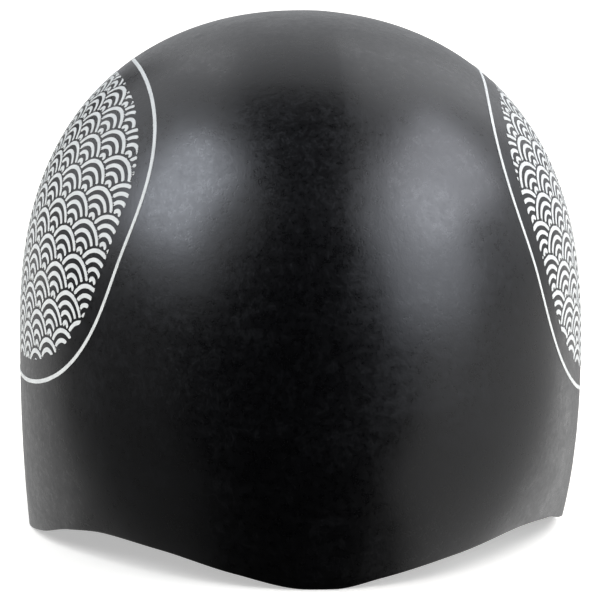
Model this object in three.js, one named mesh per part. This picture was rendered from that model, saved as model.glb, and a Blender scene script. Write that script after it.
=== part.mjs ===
// Swim cap: one thin moulded dome of silicone rubber, standing on its own wavy rim.
// Millimetres, +Z up. The origin is on the floor, under the middle of the cap.
// The nape end points to -Y, the forehead end to +Y, and the ears lie on the X axis.

import * as THREE from "three";

// Wall thickness of the moulded rubber
const WALL = 1.2;

// Plan shapes of the cap at three heights, each as its reach from the origin.
// widest_at says how far forward of the origin the cap is widest at that height.
const SECTIONS = {
  rim: { height: 0, half_width: 72.5, nape: 80, forehead: 88, widest_at: 11 },
  widest: { height: 50, half_width: 75, nape: 94, forehead: 94, widest_at: 0 },
  apex: { height: 140 },
};

// How squarely the profile turns: 2 would be an ellipse, and more is fuller
const CROWN_RISE_POWER = 2.6;
const CROWN_REACH_POWER = 2.1;
const SKIRT_POWER = 2.1;

// The cut edge of the rim, one row for each place where its line turns.
// angle runs in degrees round the cap from the nape, with positive towards +X.
// The rows at height 0 are the lobes that the cap stands on: forehead, ears and nape.
const RIM_LINE = [
  { angle: -180, height: 0 },
  { angle: -160, height: 0 },
  { angle: -130, height: 4 },
  { angle: -105, height: 0 },
  { angle: -95, height: 0 },
  { angle: -76, height: 2.8 },
  { angle: -62, height: 6.9 },
  { angle: -50, height: 8.7 },
  { angle: -36, height: 7.3 },
  { angle: -20, height: 3.3 },
  { angle: -5, height: 0 },
  { angle: 0, height: 0 },
  { angle: 10, height: 2.3 },
  { angle: 27, height: 6.2 },
  { angle: 47, height: 9.2 },
  { angle: 60, height: 8 },
  { angle: 71, height: 5 },
  { angle: 95, height: 0 },
  { angle: 105, height: 0 },
  { angle: 130, height: 4 },
  { angle: 160, height: 0 },
  { angle: 180, height: 0 },
];

// Mesh density: facets round the cap, and bands up the skirt and up the crown
const FACETS_ROUND = 72;
const SKIRT_BANDS = 7;
const CROWN_BANDS = 19;

// Step used to measure the slope of the surface, as a share of a turn or of a level
const SLOPE_STEP = 1e-4;

// Appearance of the rubber: near black and matt
const RUBBER_COLOUR = 0x17181a;
const RUBBER_ROUGHNESS = 0.55;

// Slope of the rim line at one row: level at peaks and troughs, and otherwise the
// harmonic mean of the slopes on either side, so that the line never overshoots a row
function rimSlope(index) {
  const last = RIM_LINE.length - 1;
  if (index === 0 || index === last) {
    return 0;
  }
  const [before, here, after] = RIM_LINE.slice(index - 1, index + 2);
  const left = (here.height - before.height) / (here.angle - before.angle);
  const right = (after.height - here.height) / (after.angle - here.angle);
  return left * right <= 0 ? 0 : (2 * left * right) / (left + right);
}

// Height of the cut edge at an angle in degrees from -180 to 180, as a cubic between rows
function rimHeight(angle) {
  const next = Math.max(1, RIM_LINE.findIndex((row) => row.angle >= angle));
  const low = RIM_LINE[next - 1];
  const high = RIM_LINE[next];
  const span = high.angle - low.angle;
  const t = (angle - low.angle) / span;
  const ease = t * t * (3 - 2 * t);
  const rise = t * (1 - t) * (1 - t) * span * rimSlope(next - 1);
  const fall = t * t * (1 - t) * span * rimSlope(next);
  return low.height + (high.height - low.height) * ease + rise - fall;
}

// Angle in degrees of one facet edge, with the first at the forehead
function angleOf(turn) {
  return 360 * (turn - Math.floor(turn)) - 180;
}

// Point on a section's closed plan curve, for a turn from 0 to 1 round the cap
function planPoint(section, turn) {
  const angle = THREE.MathUtils.degToRad(angleOf(turn));
  const reach = (section.forehead + section.nape) / 2;
  const centre = (section.forehead - section.nape) / 2;
  const bulge = (section.widest_at - centre) * Math.sin(angle) ** 2;
  return new THREE.Vector2(section.half_width * Math.sin(angle), centre - reach * Math.cos(angle) + bulge);
}

// Point on the outer surface. level is -1 at the rim, 0 at the widest height, 1 at the apex.
function outerPoint(turn, level) {
  const { rim, widest, apex } = SECTIONS;
  const down = Math.max(0, -level);
  const up = Math.sin((Math.PI / 2) * Math.max(0, level));
  const crown = (1 - up ** CROWN_RISE_POWER) ** (1 / CROWN_REACH_POWER);
  const tuck = planPoint(rim, turn).sub(planPoint(widest, turn)).multiplyScalar(down ** SKIRT_POWER);
  const plan = planPoint(widest, turn).multiplyScalar(crown).add(tuck);
  const wave = rimHeight(angleOf(turn)) * down ** 2;
  const height = widest.height * (1 - down) + (apex.height - widest.height) * up + wave;
  return new THREE.Vector3(plan.x, plan.y, height);
}

// Outward direction square to the surface, from two short steps along it
function outward(turn, level) {
  const below = Math.max(-1, level - SLOPE_STEP);
  const round = outerPoint(turn + SLOPE_STEP, level).sub(outerPoint(turn - SLOPE_STEP, level));
  const rising = outerPoint(turn, level + SLOPE_STEP).sub(outerPoint(turn, below));
  return round.cross(rising).normalize();
}

// Point on the inner surface, one wall in. The rim keeps its height, so its edge is cut level.
function innerPoint(turn, level) {
  const outer = outerPoint(turn, level);
  const point = outer.clone().addScaledVector(outward(turn, level), -WALL);
  if (level === -1) {
    point.z = outer.z;
  }
  return point;
}

// Levels of the rings of points, from the rim up to just below the apex
function ringLevels() {
  const skirt = Array.from({ length: SKIRT_BANDS }, (_, band) => band / SKIRT_BANDS - 1);
  const crown = Array.from({ length: CROWN_BANDS }, (_, band) => band / CROWN_BANDS);
  return [...skirt, ...crown];
}

// One skin of the shell as triangles of points, facing outwards, with its apex closed
function skinTriangles(pointAt, apexHeight) {
  const levels = ringLevels();
  const rings = levels.map((level) =>
    Array.from({ length: FACETS_ROUND }, (_, facet) => pointAt(facet / FACETS_ROUND, level)),
  );
  const apex = new THREE.Vector3(0, 0, apexHeight);
  const triangles = [];
  for (let facet = 0; facet < FACETS_ROUND; facet += 1) {
    const next = (facet + 1) % FACETS_ROUND;
    for (let ring = 0; ring + 1 < rings.length; ring += 1) {
      const [lower, upper] = [rings[ring], rings[ring + 1]];
      triangles.push([lower[facet], lower[next], upper[next]]);
      triangles.push([lower[facet], upper[next], upper[facet]]);
    }
    const top = rings.at(-1);
    triangles.push([top[facet], top[next], apex]);
  }
  return { triangles, edge: rings[0] };
}

// Closed body of the cap: outer skin, inner skin turned to face the hollow, and the cut edge
function shellGeometry() {
  const outer = skinTriangles(outerPoint, SECTIONS.apex.height);
  const inner = skinTriangles(innerPoint, SECTIONS.apex.height - WALL);
  const triangles = [...outer.triangles];
  for (const [a, b, c] of inner.triangles) {
    triangles.push([a, c, b]);
  }
  for (let facet = 0; facet < FACETS_ROUND; facet += 1) {
    const next = (facet + 1) % FACETS_ROUND;
    triangles.push([outer.edge[facet], inner.edge[facet], inner.edge[next]]);
    triangles.push([outer.edge[facet], inner.edge[next], outer.edge[next]]);
  }
  const geometry = new THREE.BufferGeometry().setFromPoints(triangles.flat());
  geometry.computeVertexNormals();
  return geometry;
}

// The whole cap is one piece of rubber
function capShell() {
  const rubber = new THREE.MeshStandardMaterial({
    color: RUBBER_COLOUR,
    roughness: RUBBER_ROUGHNESS,
    metalness: 0,
  });
  const mesh = new THREE.Mesh(shellGeometry(), rubber);
  mesh.name = "cap_shell";
  return mesh;
}

const swimCap = new THREE.Group();
swimCap.add(capShell());

export default swimCap;
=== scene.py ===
"""Looks of a moulded silicone swim cap: its rubber shell, its printed side panels and a plain studio.

Every length in the functions is in metres. The cap stands on the floor with its nape towards -Y.
"""

import math

import bpy
import numpy as np
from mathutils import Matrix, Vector


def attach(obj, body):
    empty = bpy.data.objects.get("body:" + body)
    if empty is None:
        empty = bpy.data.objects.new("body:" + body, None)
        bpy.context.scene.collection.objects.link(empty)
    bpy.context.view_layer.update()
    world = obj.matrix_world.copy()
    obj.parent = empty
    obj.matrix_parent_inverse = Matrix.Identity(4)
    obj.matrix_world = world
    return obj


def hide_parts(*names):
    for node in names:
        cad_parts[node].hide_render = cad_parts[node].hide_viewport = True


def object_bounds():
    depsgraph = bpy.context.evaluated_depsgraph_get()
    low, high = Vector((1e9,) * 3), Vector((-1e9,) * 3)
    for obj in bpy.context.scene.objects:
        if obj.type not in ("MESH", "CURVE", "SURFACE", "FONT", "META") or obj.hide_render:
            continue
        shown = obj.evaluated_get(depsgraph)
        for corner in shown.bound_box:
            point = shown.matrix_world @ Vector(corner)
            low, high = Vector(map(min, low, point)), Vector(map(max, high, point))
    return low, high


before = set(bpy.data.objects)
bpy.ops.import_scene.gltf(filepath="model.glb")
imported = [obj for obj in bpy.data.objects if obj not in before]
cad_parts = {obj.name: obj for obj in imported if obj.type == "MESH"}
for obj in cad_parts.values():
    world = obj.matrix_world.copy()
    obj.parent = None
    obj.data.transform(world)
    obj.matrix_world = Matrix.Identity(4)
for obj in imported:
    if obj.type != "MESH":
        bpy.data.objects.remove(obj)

bl_info = {
    "name": "Swim cap",
    "version": (1, 0, 0),
    "blender": (4, 5, 0),
    "location": "3D View > Sidebar > Swim cap",
    "description": "Makes a moulded silicone swim cap with printed side panels, and a studio for it",
    "category": "Add Mesh",
}

CAD_BOX = [list(corner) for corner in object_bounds()]
MM = 0.001

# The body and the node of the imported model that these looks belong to
BODY = "root"
SHELL_NODE = "cap_shell"

# The cut edge of the rim: degrees round the cap from the nape, positive towards +X, and height
RIM_LINE = np.array(
    [
        (-180, 0), (-160, 0), (-130, 4), (-105, 0), (-95, 0), (-76, 2.8),
        (-62, 6.9), (-50, 8.7), (-36, 7.3), (-20, 3.3), (-5, 0), (0, 0),
        (10, 2.3), (27, 6.2), (47, 9.2), (60, 8), (71, 5), (95, 0),
        (105, 0), (130, 4), (160, 0), (180, 0),
    ],
    dtype=[("angle", float), ("height_mm", float)],
)

# How squarely the profile turns: 2 would be an ellipse, and more is fuller
CROWN_RISE_POWER = 2.6
CROWN_REACH_POWER = 2.1
SKIRT_POWER = 2.1

# Grid of the shell: columns round it, and rings up the skirt and the crown of each skin
COLUMNS = 360
OUTER_RINGS = {"skirt": 44, "crown": 92}
INNER_RINGS = {"skirt": 14, "crown": 36}
EDGE_STEPS = 4

# Step used to measure the slope of the skin, in radians round the cap and in levels
SLOPE_STEP = 1e-4

# The mould closes along a plane that leans a little: its x is lean times the height above foot
PARTING_LEAN = 0.075
PARTING_FOOT = 60 * MM

# Slight unevenness of the soft wall, one row for each swell or hollow.
# angle is degrees round the cap from the nape, z its height, size its radius, depth its inward depth.
SWELLS = np.array(
    [
        (-20, 20, 26, 0.25),
        (24, 34, 30, -0.20),
        (-48, 70, 34, 0.22),
        (38, 110, 24, -0.18),
        (8, 128, 20, 0.15),
        (62, 22, 22, 0.22),
        (-74, 30, 24, -0.20),
        (150, 60, 36, 0.25),
        (-140, 95, 34, -0.22),
        (110, 25, 26, 0.20),
    ],
    dtype=[("angle", float), ("z_mm", float), ("size_mm", float), ("depth_mm", float)],
)


def linear_colour(hex_code):
    """Turns an sRGB hex colour such as #1A1B1D into linear red, green and blue."""
    parts = np.array([int(hex_code[i:i + 2], 16) for i in (1, 3, 5)]) / 255
    linear = np.where(parts <= 0.04045, parts / 12.92, ((parts + 0.055) / 1.055) ** 2.4)
    return tuple(float(value) for value in linear)


# Sizes and colours that a user would change

class CapShape(bpy.types.PropertyGroup):
    """The rubber shell"""

    width: bpy.props.FloatProperty(
        name="Width", description="From ear to ear, outside, where the cap is widest",
        default=CAD_BOX[1][0] - CAD_BOX[0][0], unit="LENGTH")
    length: bpy.props.FloatProperty(
        name="Length", description="From nape to forehead, outside",
        default=CAD_BOX[1][1] - CAD_BOX[0][1], unit="LENGTH")
    height: bpy.props.FloatProperty(
        name="Height", description="From the floor to the apex",
        default=CAD_BOX[1][2] - CAD_BOX[0][2], unit="LENGTH")
    widest_height: bpy.props.FloatProperty(
        name="Widest height", description="Height above the floor where the cap is widest",
        default=50 * MM, unit="LENGTH")
    rim_half_width: bpy.props.FloatProperty(
        name="Rim half width", description="Reach of the rim to each ear",
        default=72.5 * MM, unit="LENGTH")
    rim_nape: bpy.props.FloatProperty(
        name="Rim at nape", description="Reach of the rim to the nape",
        default=80 * MM, unit="LENGTH")
    rim_forehead: bpy.props.FloatProperty(
        name="Rim at forehead", description="Reach of the rim to the forehead",
        default=88 * MM, unit="LENGTH")
    rim_widest_at: bpy.props.FloatProperty(
        name="Rim widest at", description="How far forward of the middle the rim is widest",
        default=11 * MM, unit="LENGTH")
    wall: bpy.props.FloatProperty(
        name="Wall", description="Thickness of the moulded rubber",
        default=1.2 * MM, unit="LENGTH")
    edge_round: bpy.props.FloatProperty(
        name="Edge rounding", description="Radius of the two corners of the cut rim",
        default=0.35 * MM, unit="LENGTH")
    parting_ridge: bpy.props.FloatProperty(
        name="Parting ridge", description="How far the skin rises to the mould's parting line",
        default=0.09 * MM, unit="LENGTH")
    rubber: bpy.props.FloatVectorProperty(
        name="Rubber colour", description="Linear colour of the silicone rubber",
        default=linear_colour("#010102"), subtype="COLOR")


class SidePanel(bpy.types.PropertyGroup):
    """The printed panel on each side"""

    half_length: bpy.props.FloatProperty(
        name="Half length", description="Half the panel's length, from nape to forehead",
        default=69 * MM, unit="LENGTH")
    half_height: bpy.props.FloatProperty(
        name="Half height", description="Half the panel's height",
        default=47 * MM, unit="LENGTH")
    fullness: bpy.props.FloatProperty(
        name="Fullness", description="Power of the panel's rounded outline: 2 is an ellipse",
        default=2.5)
    left_height: bpy.props.FloatProperty(
        name="Left height", description="Height of the middle of the left panel above the floor",
        default=92 * MM, unit="LENGTH")
    right_height: bpy.props.FloatProperty(
        name="Right height", description="Height of the middle of the right panel above the floor",
        default=88 * MM, unit="LENGTH")
    frame_line: bpy.props.FloatProperty(
        name="Frame line", description="Width of the line round the panel",
        default=1.05 * MM, unit="LENGTH")
    margin: bpy.props.FloatProperty(
        name="Margin", description="Bare rubber between the frame line and the waves",
        default=5 * MM, unit="LENGTH")
    wave_radius: bpy.props.FloatProperty(
        name="Wave radius", description="Radius of one wave scale",
        default=10 * MM, unit="LENGTH")
    line_width: bpy.props.FloatProperty(
        name="Line width", description="Width of each printed arc of a wave",
        default=1.15 * MM, unit="LENGTH")
    line_pitch: bpy.props.FloatProperty(
        name="Line pitch", description="Distance from one printed arc to the next",
        default=2.5 * MM, unit="LENGTH")
    film: bpy.props.FloatProperty(
        name="Ink film", description="Thickness of the printed ink",
        default=0.1 * MM, unit="LENGTH")
    ink: bpy.props.FloatVectorProperty(
        name="Ink colour", description="Linear colour of the printed ink",
        default=linear_colour("#CACBC7"), subtype="COLOR")


class Studio(bpy.types.PropertyGroup):
    """The camera and the floor"""

    azimuth: bpy.props.FloatProperty(
        name="Azimuth", description="Camera's angle round the cap from the nape",
        default=math.radians(-6.2), subtype="ANGLE", unit="ROTATION")
    elevation: bpy.props.FloatProperty(
        name="Elevation", description="Camera's angle above the horizon",
        default=math.radians(8.0), subtype="ANGLE", unit="ROTATION")
    distance: bpy.props.FloatProperty(
        name="Distance", description="From the camera to the point that it looks at",
        default=1.1, unit="LENGTH")
    target_side: bpy.props.FloatProperty(
        name="Target side", description="How far right of the cap's axis the camera looks",
        default=0.17 * MM, unit="LENGTH")
    target_height: bpy.props.FloatProperty(
        name="Target height", description="Height of the point that the camera looks at",
        default=62.45 * MM, unit="LENGTH")
    lens: bpy.props.FloatProperty(
        name="Lens", description="Focal length in millimetres on a 36 mm sensor",
        default=245.5)
    floor: bpy.props.FloatVectorProperty(
        name="Floor colour", description="Linear colour of the pale floor",
        default=linear_colour("#F9F4E9"), subtype="COLOR")


# Shape of the cap

def rim_height(angle):
    """Height of the cut edge at angles in degrees from -180 to 180.

    A cubic between the rows of RIM_LINE. Its slope at a row is the harmonic mean of the slopes on
    either side, and level at peaks and troughs, so that the line never overshoots a row.
    """
    x = RIM_LINE["angle"]
    y = RIM_LINE["height_mm"] * MM
    secant = np.diff(y) / np.diff(x)
    product = secant[:-1] * secant[1:]
    total = secant[:-1] + secant[1:]
    slope = np.zeros_like(x)
    turning = product > 0
    slope[1:-1][turning] = 2 * product[turning] / total[turning]
    row = np.clip(np.searchsorted(x, angle) - 1, 0, len(x) - 2)
    span = x[row + 1] - x[row]
    t = (angle - x[row]) / span
    ease = t * t * (3 - 2 * t)
    rise = t * (1 - t) ** 2 * span * slope[row]
    fall = t * t * (1 - t) * span * slope[row + 1]
    return y[row] + (y[row + 1] - y[row]) * ease + rise - fall


def plan_point(half_width, nape, forehead, widest_at, angle):
    """Point x, y of a closed plan curve at an angle in radians from the nape.

    An ellipse between nape and forehead, moved forward by widest_at where it is widest.
    """
    reach = (forehead + nape) / 2
    centre = (forehead - nape) / 2
    x = half_width * np.sin(angle)
    y = centre - reach * np.cos(angle) + (widest_at - centre) * np.sin(angle) ** 2
    return x, y


def plain_form(shape, angle, level):
    """Points of the outer skin before its relief. level is -1 at the rim, 0 at the widest height
    and 1 at the apex.

    The crown scales the widest plan curve by (1 - rise^2.6)^(1/2.1). The skirt tucks it in towards
    the rim's plan curve with the 2.1th power of the way down. The rim's wave fades upwards.
    """
    down = np.clip(-level, 0, 1)
    rise = np.sin(np.clip(level, 0, 1) * math.pi / 2)
    crown = np.clip(1 - rise ** CROWN_RISE_POWER, 0, 1) ** (1 / CROWN_REACH_POWER)
    half = shape.length / 2
    wide_x, wide_y = plan_point(shape.width / 2, half, half, 0.0, angle)
    rim_x, rim_y = plan_point(
        shape.rim_half_width, shape.rim_nape, shape.rim_forehead, shape.rim_widest_at, angle)
    tuck = down ** SKIRT_POWER
    x = wide_x * crown + (rim_x - wide_x) * tuck
    y = wide_y * crown + (rim_y - wide_y) * tuck
    wave = rim_height(np.degrees(angle)) * down ** 2
    z = shape.widest_height * (1 - down) + (shape.height - shape.widest_height) * rise + wave
    return np.stack([x, y, z], -1)


def wrapped(angle):
    """The same angle in radians, brought between -pi and pi."""
    return (angle + math.pi) % (2 * math.pi) - math.pi


def unit(vectors):
    """Vectors of the same directions and of length one."""
    return vectors / np.linalg.norm(vectors, axis=-1, keepdims=True)


def outward(shape, angle, level):
    """Unit vectors square to the plain form: the cross product of two short steps along it."""
    below = np.clip(level - SLOPE_STEP, -1, 1 - 2 * SLOPE_STEP)
    above = np.clip(level + SLOPE_STEP, below + SLOPE_STEP, 1)
    after = plain_form(shape, wrapped(angle + SLOPE_STEP), below)
    before = plain_form(shape, wrapped(angle - SLOPE_STEP), below)
    rising = plain_form(shape, angle, above) - plain_form(shape, angle, below)
    return unit(np.cross(after - before, rising))


def level_at(shape, height):
    """Level of the plain form at a height, without the rim's wave."""
    rise = (height - shape.widest_height) / (shape.height - shape.widest_height)
    above = np.arcsin(np.clip(rise, 0, 1)) / (math.pi / 2)
    return np.where(rise > 0, above, height / shape.widest_height - 1)


def relief(points, shape):
    """How far the skin at each point stands proud of the plain form.

    Wide Gaussian swells and hollows, and a low ridge with straight flanks along the parting plane.
    It fades out towards the rim, so that the cut edge keeps its line.
    """
    proud = np.zeros(points.shape[:-1])
    for swell in SWELLS:
        level = level_at(shape, np.array(swell["z_mm"] * MM))
        centre = plain_form(shape, np.array(math.radians(swell["angle"])), level)
        reach = np.linalg.norm(points - centre, axis=-1) / (swell["size_mm"] * MM)
        proud -= swell["depth_mm"] * MM * np.exp(-reach ** 2)
    flank = 7 * MM
    fade_height = 12 * MM
    from_line = np.abs(points[..., 0] - PARTING_LEAN * (points[..., 2] - PARTING_FOOT))
    proud += shape.parting_ridge * np.clip(1 - from_line / flank, 0, 1)
    return proud * np.clip(points[..., 2] / fade_height, 0, 1) ** 2


def skin(shape, angle, level):
    """Points of the outer skin with its relief, and the unit vectors square to the plain form."""
    plain = plain_form(shape, angle, level)
    normal = outward(shape, angle, level)
    return plain + normal * relief(plain, shape)[..., None], normal


# Mesh building

def new_piece(name, points, faces, material):
    """Makes a smooth-shaded mesh object from an array of points and a list of faces."""
    mesh = bpy.data.meshes.new(name)
    mesh.from_pydata(np.reshape(points, (-1, 3)).tolist(), [], faces)
    mesh.polygons.foreach_set("use_smooth", np.ones(len(mesh.polygons), bool))
    mesh.update()
    mesh.materials.append(material)
    piece = bpy.data.objects.new(name, mesh)
    bpy.context.scene.collection.objects.link(piece)
    return piece


def ring_faces(rings, columns):
    """Four-sided faces between rings of points, each ring closed on itself."""
    ring, column = np.meshgrid(np.arange(rings - 1), np.arange(columns), indexing="ij")
    beside = (column + 1) % columns
    here, next_ring = ring * columns, (ring + 1) * columns
    corners = [here + column, here + beside, next_ring + beside, next_ring + column]
    return np.stack(corners, -1).reshape(-1, 4)


def fan_faces(first, columns, pole):
    """Triangles from a ring of points, numbered from first, up to its pole."""
    column = np.arange(columns)
    return np.stack([first + column, first + (column + 1) % columns, np.full(columns, pole)], -1)


def ring_levels(rings):
    """Levels of the rings of one skin, from just above the rim to just below the apex."""
    skirt = np.linspace(-1, 0, rings["skirt"] + 1)[1:-1]
    crown = np.linspace(0, 1, rings["crown"] + 1)[:-1]
    return np.concatenate([skirt, crown])


def edge_rings(shape, angle):
    """Rings round the cut edge, from the outer skin to the inner one.

    The edge is level across the wall. Each of its two corners is a quarter circle.
    """
    rim = np.full_like(angle, -1)
    climb = 0.02
    edge, normal = skin(shape, angle, rim)
    above, _ = skin(shape, angle, rim + climb)
    upwards = unit(above - edge)
    inwards = unit(normal * [-1, -1, 0])
    bend = np.linspace(0, math.pi / 2, EDGE_STEPS)[:, None, None]
    rise = shape.edge_round * (1 - np.sin(bend)) * upwards
    inset = shape.edge_round * (1 - np.cos(bend)) * inwards
    outer_corner = edge + inset + rise
    inner_corner = edge + shape.wall * inwards - inset + rise
    return np.concatenate([outer_corner, inner_corner[::-1]])


def shell_mesh(shape):
    """Points and faces of the closed shell: rings from the top of the outer skin down, round the
    cut edge and up the inner skin, and a pole at each end."""
    angle = wrapped(np.arange(COLUMNS) * 2 * math.pi / COLUMNS)[None, :]
    outer, _ = skin(shape, angle, ring_levels(OUTER_RINGS)[::-1, None])
    inner, normal = skin(shape, angle, ring_levels(INNER_RINGS)[:, None])
    rings = np.concatenate([outer, edge_rings(shape, angle), inner - shape.wall * normal])
    top = np.array([[0, 0, shape.height]])
    top[:, 2] += relief(top, shape)
    poles = np.concatenate([top, top - [0, 0, shape.wall]])
    count = rings.shape[0] * COLUMNS
    sides = ring_faces(len(rings), COLUMNS)[:, ::-1]
    crown = fan_faces(0, COLUMNS, count)
    hollow = fan_faces(count - COLUMNS, COLUMNS, count + 1)[:, ::-1]
    points = np.concatenate([rings.reshape(-1, 3), poles])
    return points, sides.tolist() + crown.tolist() + hollow.tolist()


# The printed panels

def wave_scale(panel, distance):
    """Signed distance to the arcs of one wave scale, negative on ink, at a distance from its middle.

    Arcs of one width and pitch repeat inwards from the scale's rim, half a gap in from it.
    """
    depth = panel.wave_radius - distance
    gap = panel.line_pitch - panel.line_width
    phase = (depth - gap / 2) % panel.line_pitch
    from_arc = np.abs(phase - panel.line_width / 2)
    from_next = panel.line_pitch + panel.line_width / 2 - phase
    return np.maximum(np.minimum(from_arc, from_next) - panel.line_width / 2, gap / 2 - depth)


def wave_field(panel, u, v):
    """Signed distance to a field of overlapping wave scales, negative on ink.

    The scales stand in rows half a radius apart, every second row moved by a radius. Each row
    lies in front of the row above it, and cuts off what it covers.
    """
    radius = panel.wave_radius
    row_step = radius / 2
    base = np.floor(v / row_step)
    scales = []
    for lift in (-2, -1, 0, 1, 2):
        row = base + lift
        shift = radius * (row % 2)
        nearest = np.round((u - shift) / (2 * radius))
        for beside in (-1, 0, 1):
            middle = (nearest + beside) * 2 * radius + shift
            scales.append((lift, np.hypot(u - middle, v - row * row_step)))
    field = np.full(u.shape, radius)
    for lift, distance in scales:
        scale = wave_scale(panel, distance)
        for other_lift, other in scales:
            if other_lift < lift:
                scale = np.maximum(scale, radius - other)
        field = np.minimum(field, scale)
    return field


def panel_field(panel, u, v):
    """Signed distance to all the ink of one panel: its frame line and the waves inside it.

    The outline is a superellipse. Its distance is its value over the length of its slope.
    """
    power = panel.fullness
    least = 1e-6
    ratio_u = np.abs(u) / panel.half_length
    ratio_v = np.abs(v) / panel.half_height
    total = np.maximum(ratio_u ** power + ratio_v ** power, least)
    value = total ** (1 / power) - 1
    lean = total ** (1 / power - 1)
    slope_u = lean * ratio_u ** (power - 1) / panel.half_length
    slope_v = lean * ratio_v ** (power - 1) / panel.half_height
    outline = value / np.hypot(slope_u, slope_v)
    frame_line = np.abs(outline + panel.frame_line / 2) - panel.frame_line / 2
    inside = outline + panel.frame_line + panel.margin
    return np.minimum(frame_line, np.maximum(wave_field(panel, u, v), inside))


def odd_corner_first(triangles, odd):
    """Turns each triangle until the corner that is marked as odd comes first."""
    order = (odd.argmax(1)[:, None] + np.arange(3)) % 3
    return np.take_along_axis(triangles, order, 1)


def inked_triangles(field, u, v):
    """Cuts a grid of triangles along the zero line of a field and keeps its negative side.

    Each grid square is two triangles. One with a single inked corner keeps a smaller triangle,
    and one with two inked corners keeps a four-sided piece, as two triangles. The field is kept
    a little clear of zero at every grid point, so that no cut passes through one.
    """
    clear = 0.02 * MM
    number = np.arange(field.size).reshape(field.shape)
    a, b = number[:-1, :-1].ravel(), number[1:, :-1].ravel()
    c, d = number[1:, 1:].ravel(), number[:-1, 1:].ravel()
    triangles = np.concatenate([np.stack([a, b, c], -1), np.stack([a, c, d], -1)])
    value = np.where(field < 0, np.minimum(field, -clear), np.maximum(field, clear)).ravel()
    place = np.stack([u.ravel(), v.ravel()], -1)
    inked = value[triangles] < 0
    corners = inked.sum(1)

    def cut(p, q):
        first, second = np.minimum(p, q), np.maximum(p, q)
        share = (value[first] / (value[first] - value[second]))[:, None]
        return place[first] + (place[second] - place[first]) * share

    whole = place[triangles[corners == 3]]
    p, q, r = odd_corner_first(triangles[corners == 1], inked[corners == 1]).T
    small = np.stack([place[p], cut(p, q), cut(p, r)], 1)
    p, q, r = odd_corner_first(triangles[corners == 2], ~inked[corners == 2]).T
    near = np.stack([cut(p, q), place[q], place[r]], 1)
    far = np.stack([cut(p, q), place[r], cut(p, r)], 1)
    loose = np.concatenate([whole, small, near, far]).reshape(-1, 2)

    merge = 0.002 * MM
    key = np.round(loose / merge).astype(np.int64)
    _, keep, index = np.unique(key, axis=0, return_index=True, return_inverse=True)
    return loose[keep], index.reshape(-1, 3)


def on_cap(shape, side, centre_height, u, v):
    """Angle and level on the cap of points u, v of a flat panel laid on one of its sides.

    The panel's middle touches a ball at the side. Each point keeps its direction and distance
    from the middle along the ball, which is then stretched to the cap's form. The two radii are
    the ones at which a distance on the panel stays the same on the cap.
    """
    turn_radius = 98 * MM
    climb_radius = 85 * MM
    least = 1e-9
    crown = shape.height - shape.widest_height
    lift = math.asin((centre_height - shape.widest_height) / crown)
    across, up = u / turn_radius, v / climb_radius
    arc = np.maximum(np.hypot(across, up), least)
    middle = np.array([side * math.cos(lift), 0, math.sin(lift)])
    forward = np.array([0, side, 0])
    upward = np.array([-side * math.sin(lift), 0, math.cos(lift)])
    heading = (across / arc)[:, None] * forward + (up / arc)[:, None] * upward
    ball = np.cos(arc)[:, None] * middle + np.sin(arc)[:, None] * heading
    angle = np.arctan2(ball[:, 0], -ball[:, 1])
    return angle, level_at(shape, shape.widest_height + crown * ball[:, 2])


def ink_film(shape, panel, side, centre_height):
    """Points and faces of one panel's closed film of ink, lying on the rubber.

    The inked triangles are laid on the skin twice, at the film's height and just under the skin,
    and walls join the two along every edge of the ink.
    """
    grid = 0.56 * MM
    spare = 1.02
    sunk = 0.05 * MM
    u = np.arange(-panel.half_length * spare, panel.half_length * spare, grid)
    v = np.arange(-panel.half_height * spare, panel.half_height * spare, grid)
    u, v = np.meshgrid(u, v, indexing="ij")
    flat, faces = inked_triangles(panel_field(panel, u, v), u, v)
    seat, normal = skin(shape, *on_cap(shape, side, centre_height, flat[:, 0], flat[:, 1]))
    count = len(flat)
    edges = np.concatenate([faces[:, [0, 1]], faces[:, [1, 2]], faces[:, [2, 0]]])
    key = np.sort(edges, 1) @ [count, 1]
    _, index, uses = np.unique(key, return_index=True, return_counts=True)
    p, q = edges[index[uses == 1]].T
    walls = np.concatenate([np.stack([p, p + count, q + count], -1), np.stack([p, q + count, q], -1)])
    points = np.concatenate([seat + panel.film * normal, seat - sunk * normal])
    return points, np.concatenate([faces, faces[:, ::-1] + count, walls]).tolist()


# Materials

def add_node(tree, kind, links=None, inputs=None, **settings):
    """Adds a node with its settings, the values of its inputs, and links from other sockets."""
    node = tree.nodes.new(kind)
    for key, value in settings.items():
        setattr(node, key, value)
    for key, value in (inputs or {}).items():
        node.inputs[key].default_value = value
    for key, socket in (links or {}).items():
        tree.links.new(socket, node.inputs[key])
    return node


def new_material(name):
    """An empty node material: the material, its node tree and its surface socket."""
    material = bpy.data.materials.new(name)
    material.use_nodes = True
    tree = material.node_tree
    tree.nodes.clear()
    output = add_node(tree, "ShaderNodeOutputMaterial")
    return material, tree, output.inputs["Surface"]


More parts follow.
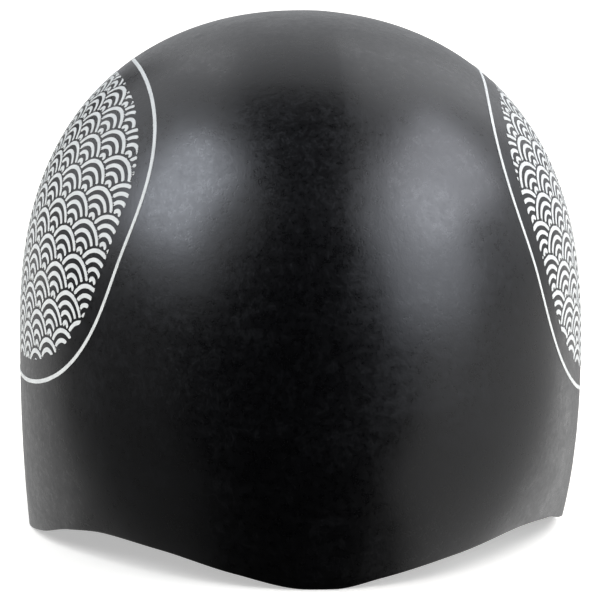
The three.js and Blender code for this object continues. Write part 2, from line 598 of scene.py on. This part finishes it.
def silicone_rubber(colour):
    """Silicone rubber, compression moulded against a blasted steel mould.

    The mould gives it a fine matt grain with a soft sheen. Handling leaves faint clouds of bloom a
    centimetre or so across and slanted wiping marks, which change how broad the sheen is and lift
    the black a little. The soft wall is uneven by about a hundredth of a millimetre.
    """
    material, tree, surface = new_material("silicone_rubber")
    place = add_node(tree, "ShaderNodeTexCoord").outputs["Object"]
    # clouds about 12 mm across
    clouds = add_node(
        tree, "ShaderNodeTexNoise", {"Vector": place}, {"Scale": 80, "Detail": 6, "Roughness": 0.6})
    # wiping marks about 5 mm wide and 30 mm long, slanted
    wiped = add_node(
        tree, "ShaderNodeMapping", {"Vector": place},
        {"Rotation": (0.0, 0.5, 0.0), "Scale": (30, 60, 200)})
    marks = add_node(
        tree, "ShaderNodeTexNoise", {"Vector": wiped.outputs["Vector"]},
        {"Scale": 1, "Detail": 4, "Roughness": 0.55})
    wear = add_node(
        tree, "ShaderNodeMix", {"A": clouds.outputs["Fac"], "B": marks.outputs["Fac"]}, {"Factor": 0.4})
    # mould grain, drawn from 0.3 to 2 mm because the real 0.1 mm is too fine to show
    grain = add_node(
        tree, "ShaderNodeTexNoise", {"Vector": place}, {"Scale": 450, "Detail": 3, "Roughness": 1.0})
    matt = add_node(
        tree, "ShaderNodeMix", {"A": wear.outputs["Result"], "B": grain.outputs["Fac"]}, {"Factor": 0.6})
    rough = add_node(
        tree, "ShaderNodeMapRange", {"Value": matt.outputs["Result"]},
        {"From Min": 0.4, "From Max": 0.6, "To Min": 0.26, "To Max": 0.38})
    bloom = add_node(
        tree, "ShaderNodeMapRange", {"Value": matt.outputs["Result"]}, {"From Min": 0.5, "From Max": 0.65})
    # the colour sockets of a Mix node come after its number and vector sockets
    tint = add_node(tree, "ShaderNodeMix", {0: bloom.outputs["Result"]}, data_type="RGBA")
    tint.inputs[6].default_value = (*colour, 1)
    tint.inputs[7].default_value = (*linear_colour("#08090C"), 1)
    dents = add_node(
        tree, "ShaderNodeBump", {"Height": wear.outputs["Result"]},
        {"Strength": 1, "Distance": 0.06 * MM})
    skin_bump = add_node(
        tree, "ShaderNodeBump", {"Height": grain.outputs["Fac"], "Normal": dents.outputs["Normal"]},
        {"Strength": 1, "Distance": 0.04 * MM})
    shader = add_node(
        tree, "ShaderNodeBsdfPrincipled",
        {"Base Color": tint.outputs[2], "Roughness": rough.outputs["Result"],
         "Normal": skin_bump.outputs["Normal"]},
        {"IOR": 1.5, "Specular IOR Level": 0.62})
    tree.links.new(shader.outputs["BSDF"], surface)
    return material


def silicone_ink(colour):
    """White silicone ink, screen printed and cured on the rubber.

    It lies as a matt film, a little thin in patches where the screen laid down less of it.
    """
    thin = 0.9
    material, tree, surface = new_material("silicone_ink")
    place = add_node(tree, "ShaderNodeTexCoord").outputs["Object"]
    # patches about 4 mm across
    patches = add_node(
        tree, "ShaderNodeTexNoise", {"Vector": place}, {"Scale": 260, "Detail": 4, "Roughness": 0.6})
    cover = add_node(
        tree, "ShaderNodeMapRange", {"Value": patches.outputs["Fac"]}, {"From Min": 0.3, "From Max": 0.6})
    tint = add_node(tree, "ShaderNodeMix", {0: cover.outputs["Result"]}, data_type="RGBA")
    tint.inputs[6].default_value = (*(thin * value for value in colour), 1)
    tint.inputs[7].default_value = (*colour, 1)
    # print of the screen's threads, drawn at 0.4 mm because the real 0.1 mm is too fine to show
    threads = add_node(tree, "ShaderNodeTexNoise", {"Vector": place}, {"Scale": 2500, "Detail": 1})
    bump = add_node(
        tree, "ShaderNodeBump", {"Height": threads.outputs["Fac"]}, {"Strength": 1, "Distance": 0.004 * MM})
    shader = add_node(
        tree, "ShaderNodeBsdfPrincipled",
        {"Base Color": tint.outputs[2], "Normal": bump.outputs["Normal"]}, {"IOR": 1.41, "Roughness": 0.5})
    tree.links.new(shader.outputs["BSDF"], surface)
    return material


def studio_paper(colour):
    """White studio paper, rolled and matt, with a painted glow that keeps it pale away from the cap."""
    material, tree, surface = new_material("studio_paper")
    place = add_node(tree, "ShaderNodeTexCoord").outputs["Object"]
    reach = add_node(tree, "ShaderNodeVectorMath", {"Vector": place}, operation="LENGTH")
    # reach in metres from the point of the floor under the cap's middle
    glow = add_node(
        tree, "ShaderNodeMapRange", {"Value": reach.outputs["Value"]},
        {"From Min": 0.2, "From Max": 0.9, "To Min": 0.45, "To Max": 1.0})
    # painted light: the paper glows by its own emission, from 0.45 near the cap to 1.0 at 0.9 m
    shader = add_node(
        tree, "ShaderNodeBsdfPrincipled", {"Emission Strength": glow.outputs["Result"]},
        {"Base Color": (*colour, 1), "Roughness": 0.9, "Emission Color": (1, 1, 1, 1)})
    tree.links.new(shader.outputs["BSDF"], surface)
    return material


# Studio

# Soft boxes and reflector boards: degrees round the cap from the nape and above the floor, distance
# and size in metres, how bright their face is, and its colour. A wider, dimmer box stands round the
# main ones on each side. The boards stand low, for the pale ground that the cap mirrors.
SOFT_BOXES = np.array(
    [
        ("left_box", -83, 39, 1.0, 0.54, 0.67, 5.9, "#EDF3FF"),
        ("left_surround", -103, 38, 1.2, 2.71, 1.30, 0.90, "#F4F6FA"),
        ("right_box", 78, 42, 1.0, 0.93, 0.62, 3.9, "#F2F5FF"),
        ("right_near_box", 52, 23, 1.2, 0.95, 0.91, 2.8, "#EFF4FF"),
        ("right_surround", 92, 39, 1.2, 3.00, 1.66, 0.72, "#F4F6FA"),
        ("back_wall", 165, 34, 2.8, 2.80, 4.20, 0.72, "#F4F6FA"),
        ("left_board", -122, -22, 1.3, 3.19, 1.77, 0.12, "#F8F8F8"),
        ("right_board", 95, -27, 1.3, 3.20, 1.45, 0.64, "#F8F8F8"),
        ("back_board", 178, -21, 1.3, 3.20, 1.08, 0.60, "#F8F8F8"),
    ],
    dtype=[("name", "U16"), ("azimuth", float), ("elevation", float), ("distance", float),
           ("width", float), ("height", float), ("brightness", float), ("colour", "U7")],
)


def direction(azimuth, elevation):
    """Unit vector at an angle round the cap from the nape and above the horizon, in radians."""
    level = math.cos(elevation)
    return Vector((math.sin(azimuth) * level, -math.cos(azimuth) * level, math.sin(elevation)))


def facing(towards):
    """Turn of a lamp or a camera that stands in a direction and looks back."""
    return towards.to_track_quat("Z", "Y").to_euler()


def add_floor(colour):
    """A pale round floor under the cap, and round it a backdrop that curves up into a wall.

    The backdrop is a line, a quarter circle and a line, turned about the upright axis. It is only
    seen and lights nothing. The cap mirrors the reflector boards in place of floor and backdrop.
    """
    floor_radius = 1.2
    bend_start = 2.4
    bend_radius = 0.8
    wall_radius = bend_start + bend_radius
    wall_top = 2.6
    columns = 96
    bend_steps = 24
    bend = np.linspace(0, math.pi / 2, bend_steps)
    radius = np.concatenate([[floor_radius], bend_start + bend_radius * np.sin(bend), [wall_radius]])
    z = np.concatenate([[0], bend_radius * (1 - np.cos(bend)), [wall_top]])
    turn = np.arange(columns) * 2 * math.pi / columns
    x = radius[:, None] * np.cos(turn)
    y = radius[:, None] * np.sin(turn)
    rings = np.stack(np.broadcast_arrays(x, y, z[:, None]), -1)
    disc = np.concatenate([rings[0], np.zeros((1, 3))])
    # floor and backdrop share the paper's painted glow
    paper = studio_paper(colour)
    floor = new_piece("floor", disc, fan_faces(0, columns, columns).tolist(), paper)
    backdrop = new_piece("backdrop", rings, ring_faces(len(rings), columns)[:, ::-1].tolist(), paper)
    backdrop.visible_diffuse = False
    for piece in (floor, backdrop):
        piece.visible_glossy = False
        piece.visible_shadow = False


def add_soft_box(row, centre):
    """A rectangular lamp that faces the cap. Its power follows from its brightness and its area."""
    name = str(row["name"])
    lamp = bpy.data.lights.new(name, "AREA")
    lamp.shape = "RECTANGLE"
    lamp.size = row["width"]
    lamp.size_y = row["height"]
    lamp.color = linear_colour(str(row["colour"]))
    lamp.energy = row["brightness"] * math.pi * row["width"] * row["height"]
    box = bpy.data.objects.new(name, lamp)
    towards = direction(math.radians(row["azimuth"]), math.radians(row["elevation"]))
    box.location = centre + towards * float(row["distance"])
    box.rotation_euler = facing(towards)
    box.visible_camera = False
    bpy.context.scene.collection.objects.link(box)


def add_camera(studio):
    """The camera that sees the cap from the photograph's angle."""
    data = bpy.data.cameras.new("camera")
    data.lens = studio.lens
    camera = bpy.data.objects.new("camera", data)
    towards = direction(studio.azimuth, studio.elevation)
    sideways = Vector((math.cos(studio.azimuth), math.sin(studio.azimuth), 0))
    target = Vector((0, 0, studio.target_height)) + sideways * studio.target_side
    camera.location = target + towards * studio.distance
    camera.rotation_euler = facing(towards)
    bpy.context.scene.collection.objects.link(camera)
    bpy.context.scene.camera = camera


def add_world():
    """A dim, even surround."""
    world = bpy.data.worlds.new("surround")
    world.use_nodes = True
    background = world.node_tree.nodes["Background"]
    background.inputs["Color"].default_value = (1, 1, 1, 1)
    background.inputs["Strength"].default_value = 0.01
    bpy.context.scene.world = world


# Operators

class SWIMCAP_OT_shell(bpy.types.Operator):
    """Makes the rubber shell"""

    bl_idname = "swimcap.shell"
    bl_label = "Rubber shell"

    def execute(self, context):
        shape = context.scene.swimcap_shape
        shell = new_piece("rubber_shell", *shell_mesh(shape), silicone_rubber(shape.rubber))
        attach(shell, BODY)
        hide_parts(SHELL_NODE)
        return {"FINISHED"}


class SWIMCAP_OT_panels(bpy.types.Operator):
    """Prints the wave panels on both sides"""

    bl_idname = "swimcap.panels"
    bl_label = "Printed panels"

    def execute(self, context):
        shape = context.scene.swimcap_shape
        panel = context.scene.swimcap_panel
        sharp_edge = math.radians(40)
        ink = silicone_ink(panel.ink)
        for name, side, height in (("left", -1, panel.left_height), ("right", 1, panel.right_height)):
            film = new_piece(f"ink_{name}", *ink_film(shape, panel, side, height), ink)
            film.data.set_sharp_from_angle(angle=sharp_edge)
            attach(film, BODY)
        return {"FINISHED"}


class SWIMCAP_OT_studio(bpy.types.Operator):
    """Makes the floor, the soft boxes and the camera"""

    bl_idname = "swimcap.studio"
    bl_label = "Studio"

    def execute(self, context):
        studio = context.scene.swimcap_studio
        centre = Vector((0, 0, studio.target_height))
        add_floor(studio.floor)
        for row in SOFT_BOXES:
            add_soft_box(row, centre)
        add_camera(studio)
        add_world()
        context.scene.view_settings.view_transform = "Standard"
        return {"FINISHED"}


class SWIMCAP_PT_steps(bpy.types.Panel):
    """Lists the steps that make the cap, and its sizes and colours"""

    bl_idname = "SWIMCAP_PT_steps"
    bl_label = "Swim cap"
    bl_space_type = "VIEW_3D"
    bl_region_type = "UI"
    bl_category = "Swim cap"

    def draw(self, context):
        for operator in OPERATORS:
            self.layout.operator(operator.bl_idname)
        for name in GROUPS:
            settings = getattr(context.scene, name)
            column = self.layout.column(align=True)
            for key in settings.__annotations__:
                column.prop(settings, key)


GROUPS = {"swimcap_shape": CapShape, "swimcap_panel": SidePanel, "swimcap_studio": Studio}
OPERATORS = (SWIMCAP_OT_shell, SWIMCAP_OT_panels, SWIMCAP_OT_studio)


def register():
    for name, group in GROUPS.items():
        bpy.utils.register_class(group)
        setattr(bpy.types.Scene, name, bpy.props.PointerProperty(type=group))
    for operator in OPERATORS:
        bpy.utils.register_class(operator)
    bpy.utils.register_class(SWIMCAP_PT_steps)


def unregister():
    bpy.utils.unregister_class(SWIMCAP_PT_steps)
    for operator in reversed(OPERATORS):
        bpy.utils.unregister_class(operator)
    for name, group in GROUPS.items():
        delattr(bpy.types.Scene, name)
        bpy.utils.unregister_class(group)


def main():
    """Registers the add-on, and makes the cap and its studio."""
    register()
    bpy.ops.swimcap.shell()
    bpy.ops.swimcap.panels()
    bpy.ops.swimcap.studio()


if __name__ == "__main__":
    main()
